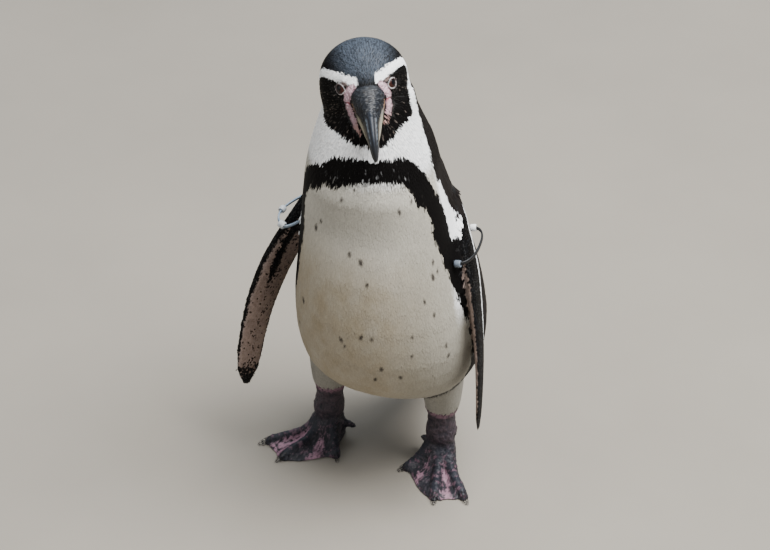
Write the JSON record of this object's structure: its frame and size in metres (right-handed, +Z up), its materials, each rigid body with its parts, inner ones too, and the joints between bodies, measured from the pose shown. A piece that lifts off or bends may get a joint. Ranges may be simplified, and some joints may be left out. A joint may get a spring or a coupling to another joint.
{
  "type": "humboldt penguin",
  "caption": "Standing Humboldt penguin, life size, flippers held out a little and head turned and lowered, with an open loop band on each flipper.",
  "frame": {"origin": "on the floor between the feet, under the centre of the box round the whole bird", "axes": "+Z up from the feet to the crown, -Y the way the breast faces, +X the bird's left"},
  "size_m": [0.2334, 0.2156, 0.4723],
  "materials": {
    "plumage": "short dense feathers, cream white with black markings",
    "dark_plumage": "short dense feathers, brown black",
    "bare_skin": "wrinkled slate black skin with pink patches",
    "horn": "satin horn, streaked slate grey",
    "eye": "wet gloss",
    "band": "satin black strap",
    "bead": "satin blue grey"
  },
  "bodies": {
    "root": {"trunk": "plumage", "neck": "plumage", "head": "plumage", "eye_left": "eye", "eye_right": "eye", "bill_upper": "horn", "bill_lower": "horn", "tail": "dark_plumage", "flipper_left": "dark_plumage", "flipper_right": "dark_plumage", "band_left": "band", "band_right": "band", "bead_left_1": "bead", "bead_left_2": "bead", "bead_right_1": "bead", "bead_right_2": "bead", "thigh_left": "plumage", "thigh_right": "plumage", "shank_left": "bare_skin", "shank_right": "bare_skin", "foot_left": "bare_skin", "foot_right": "bare_skin", "hallux_left": "bare_skin", "hallux_right": "bare_skin", "claw_inner_left": "horn", "claw_inner_right": "horn", "claw_middle_left": "horn", "claw_middle_right": "horn", "claw_outer_left": "horn", "claw_outer_right": "horn"}
  },
  "joints": []
}
